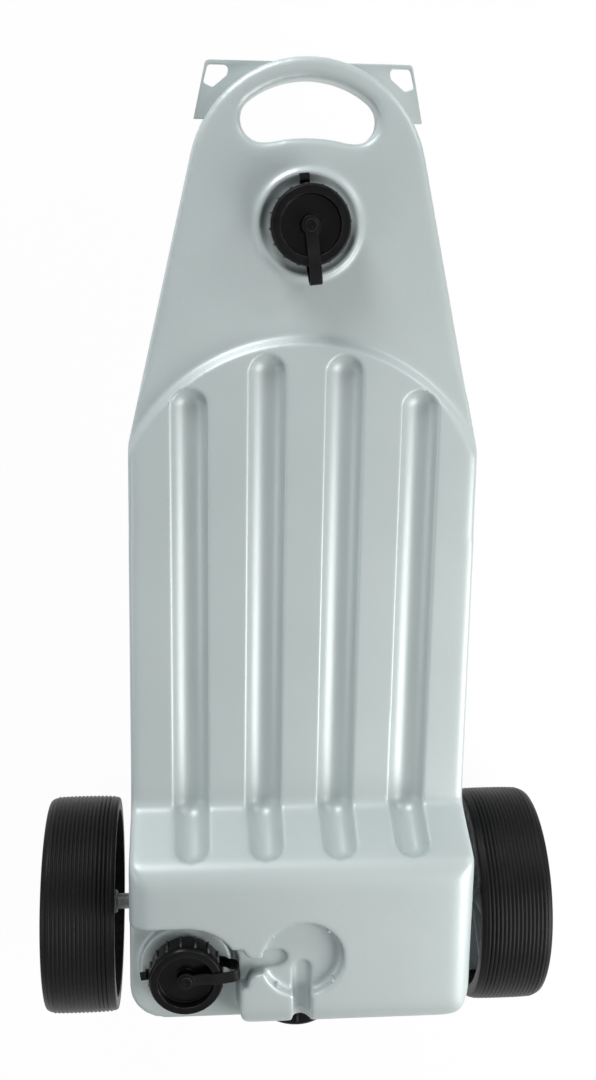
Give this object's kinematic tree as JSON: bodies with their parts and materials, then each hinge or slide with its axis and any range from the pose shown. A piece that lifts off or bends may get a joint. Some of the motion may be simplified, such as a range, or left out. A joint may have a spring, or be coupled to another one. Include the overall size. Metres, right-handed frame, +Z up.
{
  "type": "portable waste tote",
  "caption": "Wheeled waste-water carrier: ribbed blow-moulded tank with a hand grip, tethered screw caps and wheels on a steel axle.",
  "frame": {"origin": "on the floor, at the middle of the bounding box, with the carrier lying on its back", "axes": "+X across, from the left wheel to the right wheel seen from the front; +Y from the wheels towards the handle; +Z up, out of the front face"},
  "size_m": [0.51, 0.952, 0.2537],
  "materials": {
    "tank_plastic": "satin silver-grey polyethylene, slightly grained",
    "cap_plastic": "semi-gloss black polypropylene",
    "strap_plastic": "flexible black polyethylene",
    "seal_rubber": "soft black rubber",
    "tyre_rubber": "ribbed black tyre",
    "hub_plastic": "light grey moulded hub",
    "axle_steel": "zinc-plated steel"
  },
  "bodies": {
    "tank": {"tank_shell": "tank_plastic", "axle": "axle_steel", "inner_clip_left": "axle_steel", "inner_clip_right": "axle_steel", "outer_washer_left": "axle_steel", "outer_washer_right": "axle_steel", "axle_cap_left": "cap_plastic", "axle_cap_right": "cap_plastic", "filler_tether": "strap_plastic", "corner_tether": "strap_plastic", "drain_tether": "strap_plastic"},
    "wheel_left": {"wheel_hub_left": "hub_plastic", "tyre_left": "tyre_rubber"},
    "wheel_right": {"wheel_hub_right": "hub_plastic", "tyre_right": "tyre_rubber"},
    "filler_swivel": {"filler_loop": "strap_plastic"},
    "filler_lid": {"filler_cap": "cap_plastic", "filler_seal": "seal_rubber"},
    "corner_swivel": {"corner_loop": "strap_plastic"},
    "corner_lid": {"corner_cap": "cap_plastic", "corner_seal": "seal_rubber"},
    "drain_swivel": {"drain_loop": "strap_plastic"},
    "drain_lid": {"drain_cap": "cap_plastic", "drain_seal": "seal_rubber"}
  },
  "joints": [
    {"name": "wheel_left_spin", "type": "hinge", "parent": "tank", "child": "wheel_left", "pos_m": [-0.219, -0.366, 0.11], "axis": [1, 0, 0], "continuous": true},
    {"name": "wheel_right_spin", "type": "hinge", "parent": "tank", "child": "wheel_right", "pos_m": [0.219, -0.366, 0.11], "axis": [1, 0, 0], "continuous": true},
    {"name": "filler_lift", "type": "slide", "parent": "tank", "child": "filler_swivel", "axis": [0, 0, 1], "range_m": [0, 0.012]},
    {"name": "filler_unscrew", "type": "hinge", "parent": "filler_swivel", "child": "filler_lid", "pos_m": [0, 0.332, 0.1605], "axis": [0, 0, 1], "range_deg": [0, 720]},
    {"name": "corner_lift", "type": "slide", "parent": "tank", "child": "corner_swivel", "axis": [0, 0, 1], "range_m": [0, 0.012]},
    {"name": "corner_unscrew", "type": "hinge", "parent": "corner_swivel", "child": "corner_lid", "pos_m": [-0.113, -0.374, 0.223], "axis": [0, 0, 1], "range_deg": [0, 720]},
    {"name": "drain_lift", "type": "slide", "parent": "tank", "child": "drain_swivel", "axis": [0, -1, 0], "range_m": [0, 0.012]},
    {"name": "drain_unscrew", "type": "hinge", "parent": "drain_swivel", "child": "drain_lid", "pos_m": [0, -0.437, 0.159], "axis": [0, -1, 0], "range_deg": [0, 720]}
  ],
  "couplings": [
    {"joint": "filler_lift", "follows": "filler_unscrew", "m_per_rad": 0.00095493},
    {"joint": "corner_lift", "follows": "corner_unscrew", "m_per_rad": 0.00095493},
    {"joint": "drain_lift", "follows": "drain_unscrew", "m_per_rad": 0.00095493}
  ]
}
